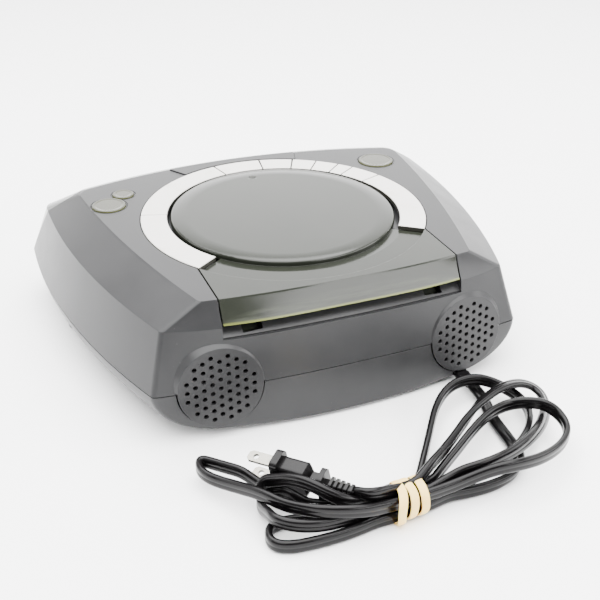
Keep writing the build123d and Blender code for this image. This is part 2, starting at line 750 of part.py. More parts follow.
def make_disc_lid():
    skirt = lid_form()
    band_under = -lid_band_drop - lid_thickness
    band = post(0, 0, ring_outer + 2.0, band_under, -1.9) & block(-lid_half_width, lid_half_width, 0, 88, -20, 5)
    band = band - ring_sector(ring_centre_cut, ring_outer + ring_gap, -ring_half_angle - 0.3, ring_half_angle + 0.3, -20, 10)
    sunk = post(0, 0, ring_outer, -lid_band_drop, 5)
    shift = Pos(0, lid_disc_shift, 0)
    disc = shift * post(0, 0, lid_disc_radius, lid_disc_top - lid_thickness, lid_disc_top)
    disc = fillet(disc.edges().group_by(Axis.Z)[-1], 1.4)
    rim = shift * (post(0, 0, lid_disc_radius, -lid_rim_depth, lid_disc_top - 1.6)
                   - post(0, 0, lid_disc_radius - 2.0, -lid_rim_depth - 1, lid_disc_top - lid_thickness))
    inside = shift * post(0, 0, lid_disc_radius - 1.0, -20, 10)
    lid = (skirt + band - sunk - inside) + (band & block(-100, 100, 0, 100, -20, -lid_band_drop)) - inside
    lid = lid + disc + rim
    web = shift * (post(0, 0, lid_disc_radius, band_under, -1) - post(0, 0, lid_disc_radius - 2, band_under - 1, 0))
    lid = lid + (web & block(-lid_half_width, lid_half_width, 42.5, 100, -20, 0))
    lid = lid - Pos(0, -59.3, lid_disc_top + 5.2) * Sphere(6.0)
    return lid + hinge_arms() + clamp_seat() + latch_hook()


def hinge_arms():
    """Two goose-neck arms that reach through the trough's slots to the pins."""
    outline_points = [(hinge_y - 2.6, hinge_z - 1.6), (83.3, -16.0), (83.3, -1.2), (87.3, -1.2), (87.3, -15.5),
                      (hinge_y + 2.6, hinge_z + 2.0)]
    arm = side_prism(outline_points, hinge_x - hinge_arm_width / 2, hinge_x + hinge_arm_width / 2)
    hub = Pos(hinge_x, hinge_y, hinge_z) * Rot(0, 90, 0) * Cylinder(hinge_hub_radius, hinge_arm_width)
    bore = Pos(hinge_x, hinge_y, hinge_z) * Rot(0, 90, 0)
    arm = arm + hub - bore * Cylinder(hinge_pin_diameter / 2 + running_clearance, 30)
    return both_sides(arm)


def clamp_seat():
    """The ring under the lid's middle that holds the disc clamp loosely."""
    wall_ring = post(0, 0, clamp_radius + 3.2, clamp_pad_top - 2.4, lid_disc_top - 1.0)
    wall_ring = wall_ring - post(0, 0, clamp_radius + 1.2, clamp_pad_top - 1.2, lid_disc_top - lid_thickness - 0.01)
    return wall_ring - post(0, 0, clamp_radius - 1.4, clamp_pad_top - 3, clamp_pad_top)


def latch_hook():
    """The hook under the lid's front edge that the latch slider catches."""
    stem = block(-3.5, 3.5, latch_y - 1.2, latch_y + 0.6, -14.0, -1.0)
    barb = side_prism([(latch_y - 1.2, -14.0), (latch_y - 2.6, -12.8), (latch_y - 2.6, -12.0), (latch_y - 1.2, -12.0)],
                      -3.5, 3.5)
    return stem + barb


disc_lid = make_disc_lid()
save(disc_lid, "disc_lid")
pin_half = hinge_arm_width / 2 + side_clearance + ear_thickness
pins = both_sides(Pos(hinge_x, hinge_y, hinge_z) * Rot(0, 90, 0) * Cylinder(hinge_pin_diameter / 2, 2 * pin_half))
save(pins, "lid_hinge_pins")
clamp = post(0, 0, clamp_radius, clamp_pad_top - 1.0, clamp_pad_top + 0.8)
clamp = clamp + post(0, 0, clamp_radius - 2.2, disc_bottom + 1.6, clamp_pad_top)
clamp = clamp - post(0, 0, hub_radius + 0.6, disc_bottom, disc_bottom + 4.2)
save(clamp, "disc_clamp")


# ------------------------------------------------------------------ ring, keys and buttons
def ring_piece(start, end, depth):
    """A silver piece between two angles, with half a key gap off each end."""
    trim = degrees(key_gap / 2 / key_mid)
    piece = ring_sector(ring_inner, ring_outer, start + trim, end - trim, ring_proud - depth, ring_proud)
    return chamfer(piece.edges().group_by(Axis.Z)[-1], edge_chamfer)


def trim_piece(start, end):
    """A fixed piece of the ring, with feet on the disc well's flange."""
    piece = ring_piece(start, end, key_thickness)
    count = 3 if end - start > 50 else 2
    for step in range(count):
        x, y = ring_point(key_mid, start + (end - start) * (step + 0.5) / count)
        piece = piece + post(x, y, 2.5, well_top, ring_proud - 1)
    return piece


save(trim_piece(label_arc_end, ring_half_angle), "ring_trim_right")
save(trim_piece(key_edges[0], label_arc_end), "ring_label_arc")
save(trim_piece(-ring_half_angle, key_edges[-1]), "ring_trim_left")

key_spots = []
for number, (end, start) in enumerate(zip(key_edges, key_edges[1:]), 1):
    x, y = ring_point(key_mid, (start + end) / 2)
    key_spots.append((x, y))
    key = ring_piece(start, end, key_thickness) + post(x, y, stem_diameter / 2, key_stem_end, ring_proud - 1)
    save(key, f"ring_key_{number}")

snooze = snooze_plan() & block(-80, 80, -130, -60, ring_proud - 3.4, ring_proud + 0.3)
snooze = chamfer(snooze.edges().group_by(Axis.Z)[-1], edge_chamfer)
snooze = snooze + joined([post(x, y, stem_diameter / 2, key_stem_end, -1) for x, y in snooze_stems])
save(snooze, "snooze_bar")


def round_button(button):
    """A round button: a cup with a domed top."""
    x, y, radius = button
    base = button_proud - button_height
    cap = post(x, y, radius, base, button_proud)
    cap = fillet(cap.edges().group_by(Axis.Z)[-1], 0.7)
    return cap - (post(x, y, radius - 1.6, base - 1, button_proud - 1.6) - post(x, y, 2.5, base - 2, 2))


for name, button in buttons.items():
    save(round_button(button), name)


# ------------------------------------------------------------------ disc well
def well_plan(z0, z1, grow=0.0):
    """The well's flange: a round plate with a tab under the snooze bar and a squared rear."""
    half = lid_half_width + lid_side_gap - 0.6
    plate = post(0, 0, flange_radius, z0, z1) - block(-200, 200, 48, 200, z0 - 1, z1 + 1)
    plate = plate + block(-half, half, 20, ledge_front - 0.4, z0, z1)
    tab = block(-52, 52, deck_front_middle + 1.5, -60, z0, z1)
    front = Pos(0, deck_front_middle + deck_front_arc + 1.5, 0) * Cylinder(deck_front_arc, 60)
    return plate + (tab & front)


def make_disc_well():
    well = well_plan(well_top - well_thickness, well_top)
    dish = post(0, 0, dish_radius + 2, dish_floor - well_thickness, well_top)
    well = well + dish - post(0, 0, dish_radius, dish_floor, well_top + 1)
    slot = block(-drive_slot_half, drive_slot_half, -drive_slot_reach, 0, dish_floor - 5, dish_floor + 1)
    slot = slot & post(0, 0, dish_radius - 1.5, dish_floor - 6, dish_floor + 2)
    well = well - slot - post(0, 0, turntable_radius + 1.5, dish_floor - 5, dish_floor + 1)
    rear = well_top - well_thickness
    skirt_wall = block(-lid_half_width + 0.1, lid_half_width - 0.1, ledge_front - 2.4, ledge_front - 0.4,
                       ledge_floor, rear)
    well = well + skirt_wall
    for x, y in key_spots + snooze_stems:
        well = well - post(x, y, stem_diameter / 2 + stem_clearance, well_top - 10, well_top + 1)
    well = well + joined([post(x, y, 2.2, board_top, well_top - 1) for x, y in key_board_posts])
    for x, y in damper_spots:
        well = well + post(x, y, damper_post_radius, damper_low, dish_floor - 1)
        well = well - post(x, y, 1.05, damper_low - 1, dish_floor - 1.5)
    well = well - block(-4.2, 4.2, latch_y - 4.4, latch_y + 2.2, -30, 5)
    return well


key_board_posts = [ring_point(ring_inner - 2.5, angle) for angle in key_board_angles]
save(make_disc_well(), "disc_well")


def make_key_board():
    """The arc-shaped circuit board under the keys, with a tact switch below each stem."""
    board = ring_sector(68.0, 96.0, -70, 58, board_top - board_thickness, board_top)
    board = board & block(-100, 100, deck_front_middle + 1.0, 0, -40, 0)
    board = board - block(-6, 6, latch_y - 6, -50, -40, 0)
    for x, y in key_spots + snooze_stems:
        board = board + block(x - 3, x + 3, y - 3, y + 3, board_top, board_top + 1.0)
        board = board + post(x, y, 1.6, board_top, switch_top)
    return board


save(make_key_board(), "key_board")


def button_board(spots):
    """A small circuit board across the lower ends of the button sleeves, with its switches."""
    xs = [x for x, y, r in spots]
    ys = [y for x, y, r in spots]
    top = -sleeve_depth
    plate = joined([post(x, y, r + button_gap + sleeve_wall, top - board_thickness, top) for x, y, r in spots])
    for x, y, radius in spots:
        plate = plate + post(x, y, 1.8, top, button_proud - button_height - key_travel - 0.1)
    return plate


save(button_board([button_right, button_small]), "button_board_right")
save(button_board([button_left]), "button_board_left")


# ------------------------------------------------------------------ lid latch
def make_latch_slider():
    """The sprung slider whose nose holds the lid's hook."""
    body = block(-5.4, 5.4, latch_y - 9.0, latch_y - 3.0, -13.6, -9.3)
    nose = side_prism([(latch_y - 3.0, -11.8), (latch_y - 1.5, -11.8), (latch_y - 3.0, -9.9)], -3.4, 3.4)
    return body + nose


save(make_latch_slider(), "lid_latch")


# ------------------------------------------------------------------ disc drive
def make_turntable():
    """The turntable with the sprung hub that centres the disc, and its shaft."""
    table = post(0, 0, turntable_radius, disc_bottom - turntable_rim, disc_bottom)
    table = table + post(0, 0, hub_radius, disc_bottom - 1, disc_bottom + hub_straight)
    table = table + Pos(0, 0, disc_bottom + hub_straight + hub_cone / 2) * Cone(hub_radius, hub_cone_radius, hub_cone)
    return table + post(0, 0, spindle_diameter / 2, shaft_end, disc_bottom - 1)


def make_drive_plate():
    plate = block(-46, 46, -80, 32, drive_bottom, drive_top)
    plate = fillet(plate.edges().filter_by(Axis.Z), 5)
    plate = plate - block(-18.5, 18.5, window_far, window_near, drive_bottom - 1, drive_top + 1)
    plate = plate - post(0, 0, 3.0, drive_bottom - 1, drive_top + 1)
    for x, y in damper_spots:
        plate = plate - post(x, y, 3.2, drive_bottom - 1, drive_top + 1)
    for x in (rod_x, -rod_x):
        for y in (window_near + 2, window_far - 2):
            plate = plate + block(x - 2.6, x + 2.6, y - 2, y + 2, drive_bottom, sled_top)
        bore = Pos(x, (window_near + window_far) / 2, rod_z) * Rot(90, 0, 0)
        plate = plate - bore * Cylinder(rod_radius, window_near - window_far + 7)
    plate = plate - post(gear_x, gear_y, gear_shaft / 2 + bore_clearance, drive_bottom - 1, drive_top + 1)
    return plate - post(pinion_x, pinion_y, 3.0, drive_bottom - 1, drive_top + 1)


def make_dampers():
    """Four rubber bushes, grooved for the drive plate."""
    bushes = []
    for x, y in damper_spots:
        bush = post(x, y, damper_radius, drive_top, dish_floor - well_thickness)
        bush = bush + post(x, y, 3.15, drive_bottom, drive_top) + post(x, y, damper_radius, damper_low, drive_bottom)
        bushes.append(bush - post(x, y, damper_post_radius + 0.02, damper_low - 1, 0))
    return joined(bushes)


def make_sled():
    """The laser pickup: a die-cast body on two rods, with the lens in its holder."""
    y = -sled_rest_radius
    body = block(-sled_half_width, sled_half_width, y - sled_half_length, y + sled_half_length, sled_bottom, sled_top)
    body = body + block(sled_half_width - 1, rack_far, y - sled_half_length, rack_rear, gear_low - 0.1, gear_high)
    teeth = round((rack_rear - y + sled_half_length) / rack_pitch) - 1
    for step in range(teeth):
        groove_y = rack_rear - (step + 1) * rack_pitch
        body = body - block(rack_far - tooth_depth, rack_far + 1, groove_y - rack_pitch / 4,
                            groove_y + rack_pitch / 4, gear_low - 1, gear_high + 1)
    body = body + post(0, y, lens_holder_radius, sled_top - 1, lens_holder_top)
    body = body + post(0, y, lens_radius, lens_holder_top - 0.5, lens_top)
    for x in (rod_x, -rod_x):
        bore = Pos(x, y, rod_z) * Rot(90, 0, 0)
        body = body - bore * Cylinder(rod_radius + running_clearance, 60)
    return body


save(make_turntable(), "turntable")
save(make_drive_plate(), "drive_plate")
save(make_dampers(), "drive_dampers")
save(joined([post(x, y, 1.0, damper_low, dish_floor - 1.6) + post(x, y, 4.0, damper_low - 1.4, damper_low)
             for x, y in damper_spots]), "drive_screws")
save(make_sled(), "pickup_sled")
rod = Pos(rod_x, (window_near + window_far) / 2, rod_z) * Rot(90, 0, 0)
rod = rod * Cylinder(rod_radius, window_near - window_far + 6.6)
save(both_sides(rod), "guide_rods")
motor = post(0, 0, motor_radius, drive_bottom - motor_depth, drive_bottom)
motor = motor - post(0, 0, spindle_diameter / 2 + running_clearance, shaft_end - 1, drive_bottom + 1)
save(motor, "spindle_motor")
feed_motor = post(pinion_x, pinion_y, feed_motor_radius, drive_bottom - motor_depth, drive_bottom)
shaft_bore = post(pinion_x, pinion_y, gear_shaft / 2 + bore_clearance, shaft_end - 1, drive_bottom + 1)
save(feed_motor - shaft_bore, "feed_motor")
gear = toothed(gear_x, gear_y, gear_radius, tooth_depth, gear_teeth, gear_low, gear_high)
save(gear + post(gear_x, gear_y, gear_shaft / 2, drive_bottom, gear_high - 0.6), "feed_gear")
pinion = toothed(pinion_x, pinion_y, pinion_radius, tooth_depth, pinion_teeth, gear_low, gear_high)
save(pinion + post(pinion_x, pinion_y, gear_shaft / 2, shaft_end, gear_high - 0.6), "feed_pinion")


# ------------------------------------------------------------------ boards, controls and transformer
def make_main_board():
    """The main board, with its chips, cans and two wings over the rotary controls."""
    top = board_z + board_thickness
    board = block(-board_half, board_half, board_front, board_rear, board_z, top)
    reach = wheel_x + control_half + 0.5
    board = board + block(-reach, reach, wheel_y - board_wing, wheel_y + board_wing, board_z, top)
    for x0, x1, y0, y1, height in chips:
        board = board + block(x0, x1, y0, y1, top - 0.5, top + height)
    for x, y, radius, height in cans:
        board = board + post(x, y, radius, top - 0.5, top + height)
    return board


def make_control(side):
    """A rotary control under the board's end, bored for the wheel's shaft."""
    x = side * wheel_x
    body = block(x - control_half, x + control_half, wheel_y - control_half, wheel_y + control_half,
                 board_z - control_height, board_z)
    return body - post(x, wheel_y, control_shaft / 2 + running_clearance, board_z - 20, board_z - 0.8)


def make_wheel(side):
    """A knurled thumb wheel whose edge stands out of the case's side, with the shaft it turns."""
    x = side * wheel_x
    low, high = wheel_z - wheel_thickness / 2, wheel_z + wheel_thickness / 2
    wheel = toothed(x, wheel_y, wheel_radius, knurl_depth, knurl_count, low, high)
    return wheel + post(x, wheel_y, control_shaft / 2, high - 1, board_z - 1.0)


def coil_windows():
    """The two windows of the laminations, beside the centre leg."""
    reach = core_length / 2 - core_leg / 2
    room = block(core_x - reach, core_x + reach, core_y - coil_width / 2, core_y + coil_width / 2,
                 transformer_z + core_leg / 2, transformer_top - core_leg / 2)
    half = core_leg / 2
    return room - block(core_x - half, core_x + half, core_y - core_width / 2, core_y + core_width / 2,
                        transformer_z, transformer_top)


def make_core():
    """The stack of laminations in its strap, whose two ears sit on posts."""
    half = core_length / 2
    stack = block(core_x - half, core_x + half, core_y - core_width / 2, core_y + core_width / 2,
                  transformer_z, transformer_top)
    ears = block(core_x - half - ear_reach, core_x + half + ear_reach, core_y - ear_width / 2,
                 core_y + ear_width / 2, transformer_z, transformer_z + ear_thickness)
    return stack + ears - coil_windows()


def make_coil():
    """The bobbin's two flanges with the winding between them."""
    low, high = transformer_z + core_leg / 2 + bobbin_flange, transformer_top - core_leg / 2 - bobbin_flange
    reach = core_length / 2 - core_leg / 2
    ring = block(core_x - reach - 1, core_x + reach + 1, core_y - coil_width, core_y + coil_width, low, high)
    ring = ring - block(core_x - reach + coil_inset, core_x + reach - coil_inset, core_y - coil_width / 2 + coil_inset,
                        core_y + coil_width / 2 - coil_inset, low, high)
    return coil_windows() - ring


save(make_main_board(), "main_board")
save(make_control(1) + make_control(-1), "rotary_controls")
save(make_wheel(1), "tuning_wheel")
save(make_wheel(-1), "volume_wheel")
save(make_core(), "transformer")
save(make_coil(), "transformer_coil")
save(loudspeaker(1), "loudspeaker_right")
save(loudspeaker(-1), "loudspeaker_left")

front_y = shoulder_front_middle + (seam_front_middle - shoulder_front_middle) * (
    (-display_z - shoulder_drop) / (seam_drop - shoulder_drop))
module_plane = Plane(origin=(0, front_y, display_z), x_dir=(1, 0, 0),
                     z_dir=(0, -cos(radians(front_lean)), sin(radians(front_lean))))
module_front = wall + lens_thickness + 1.4
module = module_plane * Pos(0, 0, -module_front - display_depth / 2) * Box(display_width - 2, display_height - 2,
                                                                          display_depth)
save(module, "display_module")


# ------------------------------------------------------------------ cord
save(make_strain_relief(), "strain_relief")
cord = Pos(relief_x, (relief_end + cord_meet) / 2, relief_z) * Rot(90, 0, 0)
save(cord * Cylinder(cord_radius, cord_meet - relief_end), "mains_cord")

plug_place = Pos(*plug_tail) * Rot(0, 0, plug_turn) * Rot(0, plug_dip, 0) * Rot(-plug_lean, 0, 0)


def plug_bar(x0, x1, wide, tall, wide_end=None, tall_end=None):
    """A length of the plug with rounded corners, x measured along it from where the cord enters."""
    ends = ((x0, wide, tall), (x1, wide_end or wide, tall_end or tall))
    faces = [Pos(x, 0, 0) * (Plane.YZ * RectangleRounded(2 * w, 2 * t, min(w, t) * plug_rounding))
             for x, w, t in ends]
    return loft(faces, ruled=True)


def make_plug():
    """The moulded plug: ribbed strain relief, collar, neck, body and the flange behind the blades."""
    plug = plug_bar(0, collar_start, rib_wide - 0.6, rib_tall - 0.9)
    for step in range(rib_count):
        x = rib_first + step * rib_pitch
        plug = plug + plug_bar(x, x + rib_thickness, rib_wide + step * rib_growth, rib_tall + step * rib_growth)
    plug = plug + plug_bar(collar_start, collar_end, collar_wide, collar_tall)
    plug = plug + plug_bar(collar_end, neck_end, neck_wide, neck_tall)
    plug = plug + plug_bar(neck_end, body_start, neck_wide, neck_tall, body_wide, body_tall)
    plug = plug + plug_bar(body_start, flange_start, body_wide, body_tall)
    return plug + plug_bar(flange_start, flange_end, flange_wide, flange_tall)


def plug_blades():
    """Two flat blades with the usual hole near the tip, seated in the body."""
    blades = []
    for z in (-blade_pitch / 2, blade_pitch / 2):
        blade = block(flange_start - blade_seat, blade_end, -blade_width / 2, blade_width / 2,
                      z - blade_thickness / 2, z + blade_thickness / 2)
        blade = chamfer(blade.edges().filter_by(Axis.Z).group_by(Axis.X)[-1], blade_chamfer)
        hole = Pos(blade_end - blade_hole_inset, 0, z) * Cylinder(blade_hole / 2, 2 * blade_thickness)
        blades.append(blade - hole)
    return joined(blades)


def make_hank():
    """The folded cord: two flat lobes and the bundle that the band holds."""
    right = prism(right_lobe, floor, hank_top)
    right = right - block(-200, 200, 100, cord_meet, floor - 1, relief_z + 2 * cord_radius)
    neck = block(band_far - 10, band_near + 10, band_front + band_thickness, band_rear - band_thickness,
                 floor + band_thickness, band_top - band_thickness)
    return right + neck + prism(left_lobe, floor, lobe_top)


plug_solid = make_plug()
blades = plug_blades()
save(plug_place * (plug_solid - blades), "plug_body")
save(plug_place * blades, "plug_blades")
save(make_hank() - plug_place * plug_solid - plug_place * blades, "cord_hank")
band = block(band_far, band_near, band_front, band_rear, floor, band_top)
bundle = block(band_far - 1, band_near + 1, band_front + band_thickness, band_rear - band_thickness,
               floor + band_thickness, band_top - band_thickness)
save(band - bundle, "rubber_band")
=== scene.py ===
import bpy
import bmesh
from math import cos, exp, pi, radians, sin
from mathutils import Matrix, Vector


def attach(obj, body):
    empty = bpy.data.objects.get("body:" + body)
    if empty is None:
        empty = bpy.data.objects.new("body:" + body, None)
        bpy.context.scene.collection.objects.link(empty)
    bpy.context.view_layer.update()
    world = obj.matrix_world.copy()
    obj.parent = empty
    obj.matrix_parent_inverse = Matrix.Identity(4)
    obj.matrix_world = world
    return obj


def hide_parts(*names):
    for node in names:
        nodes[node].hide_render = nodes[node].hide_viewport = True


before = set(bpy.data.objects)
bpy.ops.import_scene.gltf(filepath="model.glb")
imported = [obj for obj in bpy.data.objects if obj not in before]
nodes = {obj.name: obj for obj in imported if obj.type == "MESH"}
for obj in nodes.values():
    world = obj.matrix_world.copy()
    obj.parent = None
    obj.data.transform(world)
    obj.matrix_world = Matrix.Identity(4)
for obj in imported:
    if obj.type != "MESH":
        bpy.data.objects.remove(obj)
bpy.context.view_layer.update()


# ---- Studio: a white paper sweep under the player, a large soft lamp overhead and three weaker ones
# round it, in a room that is brightest beyond the player's front. The camera looks down at the rear
# wall from the player's right.
sensor_width = 36.0             # camera, in mm
lens_length = 55.41
camera_place = (0.191165, 0.495622, 0.322363)
camera_heading = 157.7486       # degrees from +Y, anticlockwise seen from above
camera_dip = 30.0373            # degrees below level
camera_roll = 0.5693
bright_side = (-0.30, -0.95, 0.05)
bright_from = 0.25              # cosines of the angles off the bright side where its glow starts
bright_full = 0.98              # and is full
room_level = 0.25
bright_level = 6.0
paper_half = 4.0
paper_grain = 0.00004

camera_data = bpy.data.cameras.new("camera")
camera_data.sensor_width = sensor_width
camera_data.lens = lens_length
camera_data.clip_start = 0.01
camera = bpy.data.objects.new("camera", camera_data)
heading_turn = Matrix.Rotation(radians(camera_heading), 4, "Z")
dip_turn = Matrix.Rotation(radians(90 - camera_dip), 4, "X")
roll_turn = Matrix.Rotation(radians(camera_roll), 4, "Z")
camera.matrix_world = Matrix.Translation(camera_place) @ (heading_turn @ dip_turn) @ roll_turn
bpy.context.scene.collection.objects.link(camera)
bpy.context.scene.camera = camera


def area_lamp(name, place, target, width, height, watts):
    """A soft rectangular lamp that faces a point."""
    data = bpy.data.lights.new(name, "AREA")
    data.shape = "RECTANGLE"
    data.size = width
    data.size_y = height
    data.energy = watts
    lamp = bpy.data.objects.new(name, data)
    lamp.location = place
    lamp.rotation_mode = "QUATERNION"
    lamp.rotation_quaternion = (Vector(target) - Vector(place)).to_track_quat("-Z", "Y")
    bpy.context.scene.collection.objects.link(lamp)


area_lamp("lamp_top", place=(0.1, 0.0, 1.6), target=(0, 0, 0), width=2.4, height=2.4, watts=230)
area_lamp("lamp_side", place=(1.6, -0.4, 0.7), target=(0, 0, 0.03), width=1.2, height=0.8, watts=20)
area_lamp("lamp_rear", place=(-1.1, 1.6, 0.95), target=(0, 0.1, 0.06), width=1.8, height=0.5, watts=48)
area_lamp("lamp_left", place=(-1.7, 0.5, 0.9), target=(0, 0, 0.06), width=0.9, height=0.9, watts=30)

world = bpy.data.worlds.new("world")
world.use_nodes = True
sky = world.node_tree
facing = sky.nodes.new("ShaderNodeVectorMath")
facing.operation = "DOT_PRODUCT"
facing.inputs[1].default_value = bright_side
sky.links.new(sky.nodes.new("ShaderNodeTexCoord").outputs["Generated"], facing.inputs[0])
glow = sky.nodes.new("ShaderNodeMapRange")
glow.interpolation_type = "SMOOTHSTEP"
for socket, value in {"From Min": bright_from, "From Max": bright_full,
                      "To Min": room_level, "To Max": bright_level}.items():
    glow.inputs[socket].default_value = value
sky.links.new(facing.outputs["Value"], glow.inputs["Value"])
sky.links.new(glow.outputs["Result"], sky.nodes["Background"].inputs["Strength"])
sky.nodes["Background"].inputs["Color"].default_value = (1.0, 1.0, 1.0, 1)
bpy.context.scene.world = world


def mesh_piece(name, points, faces):
    """A smooth mesh object from points in metres, with its faces turned outward."""
    data = bpy.data.meshes.new(name)
    data.from_pydata([tuple(p) for p in points], [], faces)
    work = bmesh.new()
    work.from_mesh(data)
    bmesh.ops.recalc_face_normals(work, faces=work.faces)
    work.to_mesh(data)
    work.free()
    for polygon in data.polygons:
        polygon.use_smooth = True
    piece = bpy.data.objects.new(name, data)
    bpy.context.scene.collection.objects.link(piece)
    return piece


class Signal:
    """A shader value that takes plain arithmetic."""

    def __init__(self, shade, socket):
        self.shade = shade
        self.socket = socket

    def maths(self, operation, other):
        return self.shade.node("Math", {0: self, 1: other}, operation=operation)

    def __add__(self, other):
        return self.maths("ADD", other)

    def __mul__(self, other):
        return self.maths("MULTIPLY", other)

    __radd__ = __add__
    __rmul__ = __mul__

    def between(self, low, high, to_low=0.0, to_high=1.0):
        """The value mapped from one range to another, and held inside it."""
        return self.shade.node("MapRange", {"Value": self, "From Min": low, "From Max": high,
                                            "To Min": to_low, "To Max": to_high})

    def band(self, low, high, soft):
        """1 where the value lies between low and high, with edges that fade to 0 over soft."""
        return self.between(low - soft, low) * self.between(high, high + soft, 1.0, 0.0)

    def colours(self, low, high):
        """A colour that runs from low to high as the value runs from 0 to 1."""
        return self.shade.node("Mix", {0: self, 6: low, 7: high}, output=2, data_type="RGBA")


class Shade:
    """A node material: constants on its shader, and signals for what varies over the surface."""

    def __init__(self, name, **constants):
        self.material = bpy.data.materials.new(name)
        self.material.use_nodes = True
        self.tree = self.material.node_tree
        self.shader = self.tree.nodes["Principled BSDF"]
        for socket, value in constants.items():
            self.set(socket.replace("_", " ").title().replace("Ior", "IOR"), value)
        self.place = self.node("TexCoord", {}, output="Object")

    def feed(self, socket, value):
        if isinstance(value, Signal):
            self.tree.links.new(value.socket, socket)
        elif isinstance(value, tuple) and socket.type == "RGBA":
            socket.default_value = value + (1.0,)
        else:
            socket.default_value = value

    def set(self, socket, value):
        self.feed(self.shader.inputs[socket], value)

    def fed(self, socket):
        """The signal that a socket of the shader takes now."""
        return Signal(self, self.shader.inputs[socket].links[0].from_socket)

    def node(self, kind, inputs, output=0, **settings):
        """Any node: its settings first, then the values or signals of its sockets."""
        made = self.tree.nodes.new("ShaderNode" + kind)
        for key, value in settings.items():
            setattr(made, key, value)
        for key, value in inputs.items():
            self.feed(made.inputs[key], value)
        return Signal(self, made.outputs[output])

    def noise(self, scale, detail=2.0, roughness=0.5, stretch=(1, 1, 1)):
        """Cloudy noise, with scale in features per metre along each axis of stretch."""
        place = self.node("VectorMath", {0: self.place, 1: stretch}, operation="MULTIPLY")
        return self.node("TexNoise", {"Vector": place, "Scale": scale, "Detail": detail,
                                      "Roughness": roughness})

    def axis(self, index):
        """One coordinate of the place on the object, in metres."""
        return self.node("SeparateXYZ", {0: self.place}, output=index)

    def radius(self, x, y):
        """Distance from an upright axis, in metres."""
        flat = self.node("VectorMath", {0: self.place, 1: (1, 1, 0)}, operation="MULTIPLY")
        away = self.node("VectorMath", {0: flat, 1: (x, y, 0)}, operation="SUBTRACT")
        return self.node("VectorMath", {0: away}, output=1, operation="LENGTH")

    def relief(self, height, depth=1.0, edge=0.0):
        """Surface relief: height times depth in metres, on edges rounded by edge metres."""
        inputs = {"Height": height, "Distance": depth, "Strength": 1.0}
        if edge:
            inputs["Normal"] = self.node("Bevel", {"Radius": edge}, samples=6)
        self.set("Normal", self.node("Bump", inputs))


sweep_paper = Shade("sweep_paper", roughness=0.9, specular_ior_level=0.1)
paper_cloud = sweep_paper.noise(600.0, detail=3.0)
sweep_paper.set("Base Color", paper_cloud.colours((0.94, 0.94, 0.94), (0.97, 0.97, 0.97)))
sweep_paper.relief(paper_cloud, paper_grain)
floor = mesh_piece("floor", [(-paper_half, -paper_half, 0), (paper_half, -paper_half, 0),
                             (paper_half, paper_half, 0), (-paper_half, paper_half, 0)], [(0, 1, 2, 3)])
floor.data.materials.append(sweep_paper.material)


# ---- Case: upper and lower shell, snooze bar and battery door, moulded in charcoal polystyrene with a
# fine satin grain. The shells meet at a shadow line and are screwed together from below. The deck has a
# shallow groove round each push button, and the plastic has small scuffs.
case_charcoal = (0.0190, 0.0190, 0.0197)
scuff_grey = (0.16, 0.16, 0.16)
mould_grain = 3200.0            # features of a mould's grain in a metre
case_grain = 0.00002            # depth of the grain, and the radius that softens each edge
case_edge = 0.0004
gloss_drift = 0.1               # a moulding's gloss varies by this share
button_places = [(0.1005, -0.04875, 0.0106), (0.0882, -0.06295, 0.0069),
                 (-0.0929, -0.05885, 0.0121)]   # axis and radius of each push button
groove_near = 0.0004            # the groove's floor, measured out from the button's edge
groove_far = 0.0007
groove_slope = 0.0007
groove_depth = 0.0009
groove_lowest = 0.0730          # the walls below this height have no groove
groove_fade = 0.0005


def moulded(name, colour, roughness, grain=case_grain, edge=case_edge, drift=0.12, **constants):
    """A moulded finish: a slight cloudiness in colour and gloss, grain and softened edges.

    drift is the share by which its colour varies. With no grain the piece's section gives its relief.
    """
    shade = Shade(name, **constants)
    cloud = shade.noise(38.0, detail=4.0, roughness=0.6).between(0.3, 0.7)
    low = tuple(value * (1 - drift) for value in colour)
    high = tuple(value * (1 + drift) for value in colour)
    shade.set("Base Color", cloud.colours(low, high))
    smooth, rough = roughness * (1 - gloss_drift), roughness * (1 + gloss_drift)
    shade.set("Roughness", cloud.between(0.0, 1.0, smooth, rough))
    if grain:
        shade.relief(shade.noise(mould_grain), grain, edge)
    return shade


def dress(names, shade):
    """Give CAD nodes a finish."""
    for name in names:
        nodes[name].data.materials.clear()
        nodes[name].data.materials.append(shade.material)


case_plastic = moulded("case_charcoal", case_charcoal, roughness=0.33, grain=0, specular_ior_level=0.24)
scuff_specks = case_plastic.noise(700.0, detail=3.0).between(0.74, 0.80)
scuff_patches = case_plastic.noise(24.0).between(0.5, 0.6)
scuffs = scuff_specks * scuff_patches
case_plastic.set("Base Color", scuffs.colours(case_plastic.fed("Base Color"), scuff_grey))
on_deck = case_plastic.axis(2).between(groove_lowest, groove_lowest + groove_fade)
case_shape = case_plastic.noise(mould_grain) * case_grain
for x, y, size in button_places:
    groove = case_plastic.radius(x, y).band(size + groove_near, size + groove_far, groove_slope)
    case_shape = case_shape + groove * on_deck * -groove_depth
case_plastic.relief(case_shape, edge=case_edge)
dress(["upper_shell", "lower_shell", "battery_door", "snooze_bar"], case_plastic)


# ---- Circuit boards and display: green laminate boards under a clear solder lacquer, and the display
# cell behind the front lens, in dark glass.
board_green = moulded("board_green", (0.020, 0.085, 0.040), roughness=0.35, coat_weight=0.4)
dress(["main_board", "key_board", "button_board_right", "button_board_left"], board_green)
display_glass = moulded("display_glass", (0.015, 0.020, 0.018), roughness=0.1)
dress(["display_module"], display_glass)


# ---- Transformer: a stack of varnished iron laminations in a strap, with a bobbin whose winding is
# wrapped in yellow tape.
lamination = moulded("transformer_iron", (0.16, 0.15, 0.14), roughness=0.5, metallic=0.8)
dress(["transformer"], lamination)
winding_tape = moulded("winding_tape", (0.55, 0.38, 0.10), roughness=0.4)
dress(["transformer_coil"], winding_tape)


